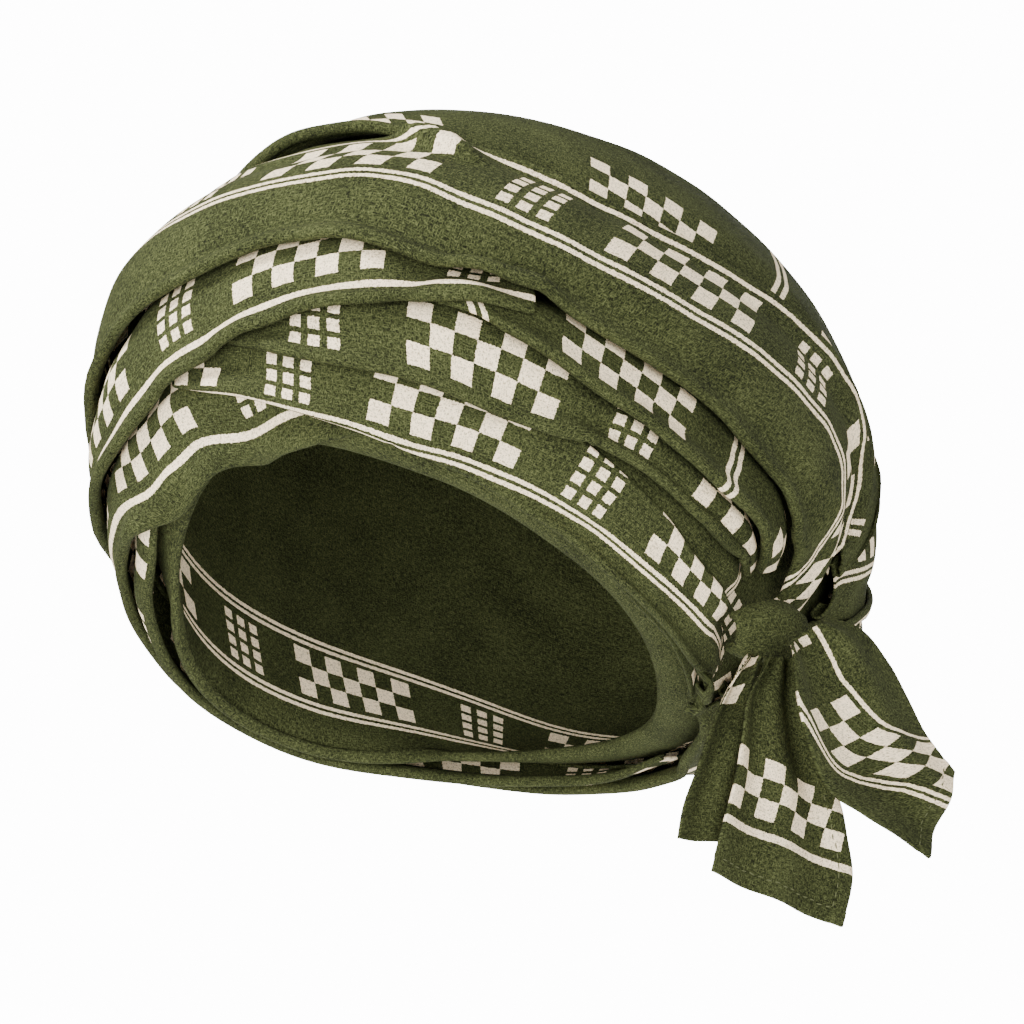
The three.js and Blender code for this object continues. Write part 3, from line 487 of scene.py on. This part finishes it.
stretches = [
    # rows: turn and rise of the upper edge, then of the lower edge, along the stretch
    # a fifth number in a row: mm that the stretch is let out from the bulk there
    # sink, puff, tuck, dip, fill: mm below the bulk's face, rise of the middle, drop of the upper
    # and of the lower edge, filling; fromLow: the pattern is measured from the lower edge
    # line: how far along (0 to 1), and mm from an edge to the first line of the weave
    # wide and tall: how much larger than usual its pattern is, start: mm along the pattern
    # creases: from along, down, to along, down (shares), height mm, half width mm
    {"name": "rim_roll", "cloth": "squares", "sink": 12, "puff": 9, "tuck": 3, "start": 12,
     "flat": (0.017, 0.112), "restsOn": ["cap"],
     "line": [(0, -4), (1, -4)], "fromLow": True,
     "creases": [(0.2, 0.35, 0.95, 0.5, 0.8, 3)],
     "rows": [(48, -20, 50, -24), (60, -24, 62, -30), (73, -30, 76, -37), (86, -36, 90, -42),
              (100, -42, 106, -47), (112, -47, 118, -50)]},
    {"name": "far_roll", "cloth": "squares", "sink": 8, "puff": 6, "tuck": 2, "start": 0,
     "flat": (0.033, 0.335), "restsOn": ["cap"],
     "line": [(0, -6), (1, -6)], "fromLow": True,
     "creases": [(0.2, 0.7, 0.8, 0.5, 0.8, 5)],
     "rows": [(-13, -5, -12, -9, 0), (-21, -8, -20, -12, 1), (-30, -12, -29, -17.5, 3),
              (-40, -15, -40, -22.5, 5), (-57, -20, -58, -29.5, 6), (-82, -28, -82, -37.5, 6),
              (-110, -34, -110, -43.5, 5), (-140, -40, -140, -49, 3), (-170, -45, -170, -52, 2),
              (-195, -48, -195, -52, 0)]},
    {"name": "brow_band", "cloth": "bold", "sink": 8, "puff": 9, "tuck": 3, "start": 30,
     "tall": [(0, 1.05), (1, 1.05)],
     "flat": (0.052, 0.53), "restsOn": ["cap"],
     "line": [(0, 9), (1, 9)], "fromLow": True,
     "creases": [(0.05, 0.45, 0.5, 0.3, 0.9, 5), (0.3, 0.7, 1, 0.6, 0.8, 6)],
     "rows": [(30, -5, 27, -9, 0), (19, -1, 17, -9, 0), (8, 3, 7, -9, 0), (-5, 4, -4, -9, 0),
              (-16, 2, -16, -13, 2), (-27, 0, -27, -15, 5), (-40, -3, -41, -18, 9),
              (-56, -7, -58, -25, 12), (-82, -13, -82, -33, 12), (-110, -17, -110, -38.5, 10),
              (-140, -22, -140, -44, 7), (-170, -27, -170, -48, 4), (-197, -33, -197, -50, 2),
              (-222, -40, -222, -50, 0), (-234, -44, -234, -50, 0)]},
    {"name": "plump_roll", "cloth": "stripes", "sink": 5, "puff": 11, "tuck": 2, "start": -32,
     "flat": (0.036, 0.112), "restsOn": ["rim_roll", "cap"],
     "line": [(0, -40), (1, -40)], "fromLow": True,
     "creases": [(0.5, 0.6, 1, 0.5, -0.9, 3)],
     "rows": [(46, -6, 45, -11), (54, -8, 53, -16), (63, -10, 62, -21), (74, -14, 70, -26),
              (84, -18, 78, -30), (93, -23, 87, -33), (98, -28, 94, -34)]},
    {"name": "lower_band", "cloth": "full", "sink": 5, "puff": 11, "tuck": 2, "start": 28,
     "flat": (0.041, 0.245), "restsOn": ["plump_roll", "brow_band"],
     "line": [(0, -8), (0.26, -3), (0.34, 1), (0.48, 5), (0.62, 8), (0.75, 13), (1, 16)],
     "fromLow": True,
     "creases": [(0.35, 0.35, 1, 0.42, -1.0, 3), (0.2, 0.75, 0.95, 0.7, 0.9, 4)],
     "rows": [(-6, 5, -6, 1), (7, 6, 7, -3), (20, 3, 18, -7), (32, 0, 28, -11), (42, -5, 38, -15),
              (53, -11, 48, -21), (63, -17, 58, -27), (72, -22, 71, -34), (80, -27, 83, -39),
              (90, -31, 98, -44), (97, -35, 106, -45), (104, -38, 115, -49), (110, -41, 122, -51)]},
    {"name": "middle_band", "cloth": "squares", "sink": 4, "puff": 11, "tuck": 2, "start": 45,
     "wide": 1.05, "tall": [(0, 1.1), (1, 1.1)],
     "flat": (0.043, 0.23), "restsOn": ["lower_band", "plump_roll"],
     "line": [(0, -4), (1, -6)], "fromLow": True,
     "creases": [(0.3, 0.7, 1, 0.55, 0.8, 3)],
     "rows": [(4, 8, 5, 4), (17, 10, 17, 0), (30, 10, 30, -3), (44, 7, 41, -7), (55, 1, 51, -11),
              (66, -5, 62, -13), (79, -11, 74, -18), (91, -17, 86, -22), (100, -24, 97, -27)]},
    {"name": "upper_band", "cloth": "stripes", "sink": 3, "puff": 11, "tuck": 2, "start": 62,
     "flat": (0.036, 0.172), "restsOn": ["middle_band"],
     "line": [(0, -4), (1, -6)], "fromLow": True,
     "creases": [(0.25, 0.5, 1, 0.5, -0.8, 3)],
     "rows": [(32, 10, 34, 6), (45, 10, 45, 2), (58, 6, 55, -4), (73, 1, 67, -10), (86, -5, 80, -16),
              (98, -12, 93, -20), (106, -22, 101, -25)]},
    {"name": "side_band", "cloth": "bold", "sink": 2, "puff": 11, "tuck": 2, "start": 58,
     "flat": (0.049, 0.68), "restsOn": ["brow_band", "middle_band"],
     "line": [(0, 3), (1, 3)], "fromLow": True,
     "creases": [(0.1, 0.2, 0.4, 0.35, 0.8, 5), (0.35, 0.7, 0.9, 0.5, 0.8, 6)],
     "rows": [(47, 9, 47, 5, 0), (36, 14, 35, 6, 0), (25, 18, 25, 6, 0), (14, 19, 14, 5, 0),
              (4, 18, 4, 3, 0), (-7, 16, -6, 1, 0), (-19, 12, -21, -4, 0), (-38, 7, -38, -8, 3),
              (-62, 2, -62, -13, 5), (-90, -4, -90, -19, 5), (-120, -10, -120, -25, 3),
              (-150, -14, -150, -31, 0), (-180, -19, -180, -36, 0), (-207, -25, -205, -41, 0),
              (-228, -33, -224, -44, 0), (-240, -38, -237, -45, 0)]},
    {"name": "back_band", "cloth": "full", "sink": 5, "puff": 9, "tuck": 2, "start": 10,
     "flat": (0.071, 0.37), "restsOn": ["cap", "side_band"],
     "line": [(0, 14), (1, 14)], "fromLow": True,
     "creases": [(0.1, 0.4, 0.9, 0.6, 0.8, 6)],
     "rows": [(128, -16, 129, -24), (137, 2, 143, -16), (148, 17, 158, -8), (165, 28, 175, -1),
              (185, 33, 193, 4), (207, 34, 212, 6), (229, 32, 232, 9), (251, 29, 252, 11),
              (272, 24, 271, 15)]},
    {"name": "crown_band", "cloth": "full", "sink": 4, "puff": 9, "tuck": 2, "start": 60,
     "flat": (0.075, 0.36), "restsOn": ["back_band", "cap"],
     "line": [(0, 14), (1, 14)], "fromLow": True,
     "creases": [(0.1, 0.6, 0.9, 0.4, 0.8, 6)],
     "rows": [(123, -12, 127, -17), (128, 12, 137, -1), (137, 32, 149, 13), (152, 48, 167, 23),
              (176, 59, 187, 28), (206, 63, 208, 29), (236, 60, 231, 28), (262, 51, 254, 26),
              (282, 38, 276, 23)]},
    {"name": "tucked_band", "cloth": "squares", "sink": 8, "puff": 6, "tuck": 2, "start": 0,
     "flat": (0.058, 0.24), "restsOn": ["cap"],
     "line": [(0, 20), (1, 20)],
     "creases": [(0.1, 0.5, 0.9, 0.4, 0.7, 4)],
     "rows": [(38, 37, 37, 31), (26, 43, 24, 32), (10, 48, 8, 32), (-12, 49, -12, 30), (-38, 46, -37, 26),
              (-63, 40, -62, 21), (-86, 31, -86, 17)]},
    {"name": "top_band", "cloth": "stripes", "sink": 3, "puff": 9, "tuck": 2, "dip": 6, "start": 70,
     "flat": (0.096, 0.445), "restsOn": ["tucked_band", "crown_band", "cap"],
     "line": [(0, 12), (1, 12)], "fromLow": True,
     "creases": [(0.05, 0.35, 0.5, 0.5, 1.0, 6), (0.1, 0.7, 0.6, 0.75, 0.9, 7)],
     "rows": [(125, -12, 117, -15), (131, 8, 118, -1), (136, 27, 108, 4), (139, 46, 90, 11),
              (138, 64, 72, 17), (110, 80, 56, 25), (-20, 80, 40, 29), (-50, 67, 24, 38), (-66, 55, 2, 42),
              (-80, 45, -30, 41), (-92, 34, -60, 33), (-100, 23, -84, 23)]},
    {"name": "main_band", "cloth": "full", "sink": -1, "puff": 12, "tuck": 3, "start": -1, "wide": 1.13,
     "tall": [(0, 1.2), (0.1, 1.25), (0.2, 1.4), (0.36, 1.4), (0.46, 1.2), (1, 1.2)],
     "flat": (0.074, 0.925), "restsOn": ["top_band", "side_band", "upper_band"],
     "line": [(0, 36), (0.1, 40), (0.2, 46), (0.36, 46), (0.46, 39), (1, 38)],
     "creases": [(0.0, 0.55, 0.16, 0.75, 0.9, 4), (0.2, 0.85, 0.42, 0.7, 0.7, 6),
                 (0.45, 0.6, 0.95, 0.5, 0.8, 7)],
     "rows": [(117, -28, 111, -30), (120, -10, 107, -21), (121, 5, 99, -16), (112, 14, 89, -10),
              (98, 20.5, 76, -3), (82, 24.5, 63, 2), (64, 29.5, 49, 7), (46, 35, 35, 10),
              (28, 37, 20, 14), (8, 35, 3, 12), (-14, 34, -14, 9), (-38, 29, -36, 4), (-66, 23, -64, -2),
              (-96, 18, -94, -8), (-128, 14, -127, -14), (-160, 9, -160, -18), (-190, 2, -190, -23),
              (-213, -13, -213, -31), (-228, -24, -227, -37), (-237, -31, -237, -39)]},
    {"name": "knot", "cloth": "plain", "sink": 0, "puff": 7, "tuck": 2, "fill": 5, "start": 0,
     "flat": (0.035, 0.043), "restsOn": ["main_band", "lower_band", "middle_band"],
     "line": [(0, -2), (1, -2)], "fromLow": True,
     "creases": [(-0.3, 0.22, 1.3, 0.28, 2.2, 1.5), (-0.3, 0.5, 1.3, 0.52, 2.4, 1.6),
                 (-0.3, 0.8, 1.3, 0.75, 2, 1.5)],
     "rows": [(96, -34, 100, -39), (100, -31, 104, -38), (104, -29, 108, -36.5), (108, -28, 112, -34),
              (111, -28, 114, -31.5)]},
]


def creaseHeight(band, along, down, wide):
    # height in mm of the listed ridges and troughs of a stretch
    total = np.zeros(along.shape)
    for fromAlong, fromDown, toAlong, toDown, height, half in band["creases"]:
        share = (along - fromAlong) / (toAlong - fromAlong)
        at = fromDown + (toDown - fromDown) * np.clip(share, 0, 1)
        phase = creaseShape["swayAlong"] * share + creaseShape["swayShift"] * fromDown
        at = at + creaseShape["sway"] * np.sin(phase)
        fade = np.clip(share * creaseShape["fade"], 0, 1) * np.clip((1 - share) * creaseShape["fade"], 0, 1)
        total += height * np.exp(-((down - at) * wide / half) ** 2) * np.sin(fade * math.pi / 2)
    return total


def curl(points, normals, uv, radius, leg, first):
    # rows that carry an edge of a sheet round its fold and back under it
    edge, inside = (points[:, 0], points[:, 1]) if first else (points[:, -1], points[:, -2])
    n = normals[:, 0] if first else normals[:, -1]
    away = edge - inside
    away -= n * np.sum(away * n, -1, keepdims=True)
    away /= np.linalg.norm(away, axis=-1, keepdims=True)
    base, beside = (uv[:, 0], uv[:, 1]) if first else (uv[:, -1], uv[:, -2])
    sign = 1.0 if base[:, 1].mean() > beside[:, 1].mean() else -1.0
    radius, leg = (np.broadcast_to(size, (len(edge), 1)) for size in (radius, leg))
    rows, threads = [], []
    for angle in foldAngles:
        rows.append(edge + away * radius * math.sin(angle) + n * radius * (math.cos(angle) - 1))
        threads.append(base + sign * radius * angle * [0, 1])
    under, underThread = rows[-1], threads[-1]
    for share in (0.5, 1.0):
        rows.append(under - away * leg * share)
        threads.append(underThread + sign * leg * share * [0, 1])
    if first:
        added = np.stack(rows[::-1], 1), np.stack(threads[::-1], 1)
        return np.concatenate([added[0], points], 1), np.concatenate([added[1], uv], 1)
    return np.concatenate([points, np.stack(rows, 1)], 1), np.concatenate([uv, np.stack(threads, 1)], 1)


def layOut(band):
    # where a stretch runs: directions, shares along and down it, how far it stands off, angle it turns
    rows = np.array(band["rows"], float)
    upper, lower = towards(rows[:, 0], rows[:, 1]), towards(rows[:, 2], rows[:, 3])
    reachOut = (egg["side"] + egg["long"]) / 2
    turned = sum(np.arccos(np.clip(np.sum(e[1:] * e[:-1], -1), -1, 1)).sum() for e in (upper, lower)) / 2
    stations = int(turned * reachOut / stepAlong)
    width = np.arccos(np.clip(np.sum(upper * lower, -1), -1, 1)).max() * reachOut
    columns = max(8, int(width / stepAcross))
    at = np.linspace(0, len(rows) - 1, stations)
    a, b = (smoothAt(edge, at) for edge in (upper, lower))
    a, b = (edge / np.linalg.norm(edge, axis=-1, keepdims=True) for edge in (a, b))
    w = np.linspace(0, 1, columns)
    down = 0.5 * ((1 - np.cos(np.pi * w)) / 2 + w)      # columns lie closer at both edges
    dirs = a[:, None] * (1 - down[None, :, None]) + b[:, None] * down[None, :, None]
    dirs /= np.linalg.norm(dirs, axis=-1, keepdims=True)
    along = np.repeat(np.linspace(0, 1, stations)[:, None], columns, 1)
    stand = smoothAt(rows[:, 4:], at) if rows.shape[1] > 4 else 0
    return dirs, along, np.repeat(down[None], stations, 0), stand, turned


def drape(band, dirs, along, down, stand):
    # the underside of a stretch, laid over the height map and pulled taut
    section = crownShape["from"] + crownShape["span"] * down ** crownShape["low"]
    crown = np.sin(np.pi * section) ** crownShape["flat"]
    ends = np.minimum(1, endShape["slope"] * np.minimum(along, 1 - along) + endShape["start"])
    reach = (bulk(dirs, band["sink"]) + stand * (upperOut + (1 - upperOut) * down) - clothWall
             - band["tuck"] * np.maximum(0, 1 - edgePart * down)
             - band.get("dip", 0) * np.maximum(0, edgePart * down - (edgePart - 1))
             - band["puff"] * (1 - crown * ends))
    floorReach = heightUnder(dirs) + gap
    reach = np.maximum(reach, floorReach)
    for _ in range(taut["rounds"]):
        reach = np.maximum(floorReach, soften(reach, 1, 1.0, taut["across"]))
    reach = np.maximum(soften(reach, evened["reach"]), floorReach - taut["sag"])
    return dirs * reach[..., None]


def faceHeight(band, along, down, wide, slim, turned):
    # mm from the underside to the face: wall, plump fold, filling, soft waves and creases
    rng = np.random.default_rng(len(band["name"]) * 7 + band["start"])
    soft = np.zeros(along.shape)
    for _ in range(waves["count"]):
        soft += rng.uniform(*waves["height"]) * np.sin(
            rng.uniform(*waves["along"]) * along * turned + rng.uniform(*waves["down"]) * down
            + rng.uniform(*waves["shift"]))
    fold = np.clip(1 - (1 - down) * wide / foldWide, 0, 1)
    fold = ((2 * foldRadius + foldLift) * slim - clothWall).clip(0) * fold * fold * (3 - 2 * fold)
    fold = fold * np.clip(np.minimum(along, 1 - along) * foldEnds, 0, 1)
    lens = np.sqrt(np.clip(np.sin(np.pi * down) * np.sin(np.pi * along), 0, 1))
    creases = np.maximum(creaseHeight(band, along, down, wide), creaseShape["deepest"])
    return clothWall + fold + band.get("fill", 0) * lens + waves["share"] * soft + creases


def threadsOf(band, points, along):
    # the place of each point on the weave in mm: along the stretch, and up from the first line
    fromTop = runLength(points, 1)
    run = runLength(points[:, points.shape[1] // 2], 0)
    line = np.interp(along[:, 0], *np.transpose(band["line"]))
    half = evened["line"]
    line = np.convolve(np.pad(line, half, mode="edge"), np.ones(2 * half + 1) / (2 * half + 1), "valid")
    above = fromTop[:, -1:] - fromTop - line[:, None] if band.get("fromLow") else line[:, None] - fromTop
    above = soften(above, evened["thread"], 2, 0)
    tall = np.interp(along, *np.transpose(band.get("tall", [(0, 1), (1, 1)])))
    alongThread = np.repeat(run[:, None], points.shape[1], 1) / band.get("wide", 1) + band["start"]
    return np.stack([alongThread, above / tall], -1), run[-1], fromTop[:, -1].max()


def makeStretch(band):
    dirs, along, down, stand, turned = layOut(band)
    base = drape(band, dirs, along, down, stand)
    normals = gridNormals(base + middle)
    normals = np.stack([soften(normals[..., k], evened["normals"]) for k in range(3)], -1)
    normals /= np.linalg.norm(normals, axis=-1, keepdims=True)      # evened, so no step turns the cloth
    wide = np.linalg.norm(np.diff(base, axis=1), axis=-1).sum(1)[:, None]
    slim = np.clip(wide / narrow, finest, 1)
    height = faceHeight(band, along, down, wide, slim, turned)
    points = base + normals * height[..., None] + middle
    uv, length, width = threadsOf(band, points, along)
    stamp(points)
    normals = gridNormals(points)
    points, uv = curl(points, normals, uv, foldRadius * slim, foldLeg * slim, first=False)
    points, uv = curl(points, normals, uv, upperFold["radius"] * slim, upperFold["leg"] * slim, first=True)
    piece = gridMesh(band["name"] + "_cloth", points, uv, [clothOf[band["cloth"]]], clothThick)
    settle(piece, band["name"])
    tellArea(piece, band["name"], band["flat"], "length %.0f width %.0f" % (length, width))


print("the first wrap")
cap = {   # mm, where nothing else is said
    "depth": 18,                              # its face below the bulk's
    "turns": 260, "rises": 110,               # points round it and up it
    "crowding": 1.35, "top": 89.97,           # rows closer at the rim, last row just off the crown (degrees)
    "thick": 1.6, "inner": 0.9, "lip": 1.8, "lipLeg": 3,
    "flat": (0.56, 0.62), "area": 0.19,       # metres and square metres
    "round": 106 * 6, "lineUp": 14,           # the pattern once round, and its first line above the rim
    "pleats": 9, "pleatSway": 30, "pleatHigh": 0.8, "pleatShare": 0.8, "pleatTop": 1.1, "pleatFade": 0.7,
}


def makeCap():
    turns = np.linspace(0, 360, cap["turns"], endpoint=False)
    low, _ = rimAt(turns)
    share = np.linspace(0, 1, cap["rises"]) ** cap["crowding"]
    riseDeg = low[:, None] + (cap["top"] - low[:, None]) * share[None]
    dirs = towards(np.repeat(turns[:, None], cap["rises"], 1), riseDeg)
    reach = bulk(dirs, cap["depth"])
    stamp(np.concatenate([dirs * reach[..., None], (dirs * reach[..., None])[:1]]) + middle)
    # soft pleats run from the rim up the inside
    sway = cap["pleatSway"] * np.sin(np.radians(turns * 2))
    ripple = cap["pleatHigh"] * np.sin(np.radians(turns * cap["pleats"] + sway))[:, None]
    ripple = ripple * np.sin(np.pi * np.clip(share * cap["pleatTop"], 0, 1))[None] ** cap["pleatFade"]
    points = dirs * (reach - cap["inner"] + ripple * cap["pleatShare"])[..., None] + middle
    u = np.repeat(np.linspace(0, cap["round"], cap["turns"], endpoint=False)[:, None], cap["rises"], 1)
    uv = np.stack([u, runLength(points, 1) - cap["lineUp"]], -1)
    around = gridNormals(np.concatenate([points[-1:], points, points[:1]]))[1:-1]
    points, uv = curl(points, around, uv, cap["lip"], cap["lipLeg"], first=True)
    paints = [clothOf["squares"], clothOf["inside"]]
    piece = gridMesh("cap_cloth", points, uv, paints, cap["thick"], ring=True)
    settle(piece, "cap")


makeCap()

print("the stretches")
for band in stretches:
    makeStretch(band)

print("the hanging ends")
knotPlace = np.array([119, 57, -17], float)      # mm
tails = [
    # rows: left along and drop, right along and drop, out (mm, from the knot's middle)
    # facing: degrees, folds and fold: how many waves across it and how deep in mm
    # line: share down the end, and mm from its hem (its left edge where turned) to the first line
    # hems: the edges that are hemmed, from: where it comes out of the knot, a share of the rows
    {"name": "tail_left", "facing": 75, "folds": 1.5, "fold": 3, "cloth": "squares", "start": 44,
     "line": [(0, 44), (1, 44)], "hems": ("side",), "from": 0.1, "flat": (0.023, 0.07),
     "rows": [(-3, 6, 1, 6, -9), (-11, 16, -3, 15, -8), (-18, 27, -4, 26, -9), (-25, 40, -6, 38, -8),
              (-30, 53, -9, 51, -8), (-35, 65, -12, 63, -8), (-38, 76, -16, 75, -7)]},
    {"name": "tail_middle", "facing": 75, "folds": 2, "fold": 4, "cloth": "border", "start": 2,
     "line": [(0, 18), (1, 18)], "hems": ("side", "end"), "from": 0.1, "flat": (0.043, 0.085),
     "rows": [(-1, 5, 6, 4, -3), (-8, 17, 7, 15, 0), (-15, 28, 9, 26, 0), (-17, 42, 14, 44, -1),
              (-20, 56, 22, 58, -1), (-25, 71, 25, 70, -1), (-29, 81, 26, 84, 0), (-31, 87, 21, 100, 0)]},
    {"name": "tail_right", "facing": 80, "folds": 1.5, "fold": 6, "cloth": "full", "start": 81,
     "turned": True, "line": [(0, -14), (0.3, -3), (0.55, 12), (0.75, 19), (1, 21)],
     "hems": ("end",), "from": 0.08, "flat": (0.055, 0.075),
     "rows": [(-1, 5, 9, -5, 2), (-7, 19, 27, -1, 11), (-5, 36, 40, 9, 12), (6, 57, 50, 20, 11),
              (24, 64, 58, 30, 10), (40, 69, 65, 37, 10), (53, 75, 70, 43, 11)]},
]
threadPaint = plainPaint("seam thread", {"Base Color": (0.075, 0.082, 0.03, 1), "Roughness": 0.85})
stitch = {   # mm
    "long": 2.1, "wide": 0.42, "step": 3.3,
    "in": 5.2,            # from the hemmed edge
    "out": 0.1,           # above the cloth
    "ends": 1.5,          # no stitch so near to the end of a seam
    "skip": 4,            # rows or columns of the grid left out at an edge
}
hem = {"high": 0.45, "slope": 0.8, "dent": 0.3, "dentWide": 0.7}   # mm
hang = {
    "stations": 130, "columns": 96,
    "thick": 1.2,                                    # mm, two layers of cloth
    "flatter": 0.45,                                 # share of a fold that is lost down to the hem
    "pleat": {"high": 1.1, "across": 3.3, "down": 0.2, "short": 1.25, "fade": 1.2},   # small, at the knot
    "sway": {"high": 0.5, "across": 1.7, "down": 1.1},
    "waveShare": 0.5,                                # of a wave's size that stands out of the plane
}


def sewLine(places, normals):
    # one stitch after another along a line of places on the cloth
    run = runLength(places, 0)
    made = []
    for at in np.arange(stitch["ends"], run[-1] - stitch["ends"], stitch["step"]):
        spot, ahead = (np.array([np.interp(at + more, run, places[:, k]) for k in range(3)])
                       for more in (0, 1))
        out = Vector([np.interp(at, run, normals[:, k]) for k in range(3)]).normalized()
        bpy.ops.object.select_all(action="DESELECT")
        bpy.ops.mesh.primitive_uv_sphere_add(segments=8, ring_count=6, radius=0.5)
        one = bpy.context.object
        length = Vector(ahead - spot).normalized()
        size = Matrix.Diagonal(Vector((stitch["long"], stitch["wide"], stitch["wide"])) * mm)
        turned = Matrix((length, out.cross(length), out)).transposed() @ size
        one.matrix_world = Matrix.Translation((Vector(spot) + out * stitch["out"]) * mm) @ turned.to_4x4()
        made.append(one)
    return made


def hangPoints(tail, out, share):
    # the grid of an end's points, hung in a plane with folds pushed out of it
    facing = math.radians(tail["facing"])
    acrossDir = np.array([math.cos(facing), math.sin(facing), 0])
    rows = np.array(tail["rows"], float)
    row = smoothAt(rows, share * (len(rows) - 1))
    w = np.linspace(0, 1, hang["columns"])[None, :]
    plane = row[:, None, 0:2] * (1 - w[..., None]) + row[:, None, 2:4] * w[..., None]
    down = share[:, None]
    pleat, sway = hang["pleat"], hang["sway"]
    wave = np.cos(2 * math.pi * tail["folds"] * w) * tail["fold"] * (1 - hang["flatter"] * down)
    wave = wave + (pleat["high"] * np.sin(2 * math.pi * (pleat["across"] * w + pleat["down"] * down))
                   * np.clip(1 - down * pleat["short"], 0, 1) ** pleat["fade"])
    turns = sway["across"] * w + sway["down"] * down + tail["folds"]
    wave = wave + sway["high"] * np.sin(2 * math.pi * turns) * down
    points = (knotPlace + acrossDir * plane[..., :1]
              + out * (row[:, None, 4] + hang["waveShare"] * wave)[..., None])
    points[..., 2] = knotPlace[2] - plane[..., 1]
    return points


def makeTail(tail):
    facing = math.radians(tail["facing"])
    out = np.array([math.sin(facing), -math.cos(facing), 0])
    count, columns = hang["stations"], hang["columns"]
    share = np.linspace(tail["from"], 1, count)
    points = hangPoints(tail, out, share)
    u, v = runLength(points, 1), runLength(points, 0)
    line = np.interp(share, *np.transpose(tail["line"]))[:, None]
    uv = np.stack([u + tail["start"], v[-1:] - v - line], -1)
    if tail.get("turned"):  # its pattern runs along the tail
        uv = np.stack([v + tail["start"], u - line], -1)
    normals = gridNormals(points)
    normals *= np.sign(np.sum(normals * out, -1, keepdims=True))
    edges = {"end": v[-1:] - v, "side": u[:, -1:] - u}      # mm from the hem and from the right edge
    for edge in tail["hems"]:
        raised = np.clip((stitch["in"] + hem["slope"] - edges[edge]) / hem["slope"], 0, 1)
        dent = np.exp(-((edges[edge] - stitch["in"]) / hem["dentWide"]) ** 2)
        points = points + normals * (hem["high"] * raised - hem["dent"] * dent)[..., None]
    paints = [clothOf[tail["cloth"]]]
    piece = gridMesh(tail["name"] + "_cloth", points, uv, paints, hang["thick"], facing=out)
    settle(piece, tail["name"])
    tellArea(piece, tail["name"], tail["flat"])
    made = []
    for edge in tail["hems"]:
        off = abs(edges[edge] - stitch["in"])
        if edge == "end":
            c = np.arange(stitch["skip"], columns - stitch["skip"])
            r = off[:, c].argmin(0)
        else:  # the side's seam starts half way down
            r = np.arange(count // 2, count - stitch["skip"])
            c = off[r].argmin(1)
        made += sewLine(points[r, c], normals[r, c])
    bpy.ops.object.select_all(action="DESELECT")
    for one in made:
        one.select_set(True)
    bpy.context.view_layer.objects.active = made[0]
    bpy.ops.object.join()
    seam = bpy.context.object
    bpy.ops.object.transform_apply(location=True, rotation=True, scale=True)
    bpy.ops.object.shade_smooth()
    seam.name = tail["name"] + "_stitches"
    seam.data.materials.clear()
    seam.data.materials.append(threadPaint)
    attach(seam, "root")


for tail in tails:
    makeTail(tail)
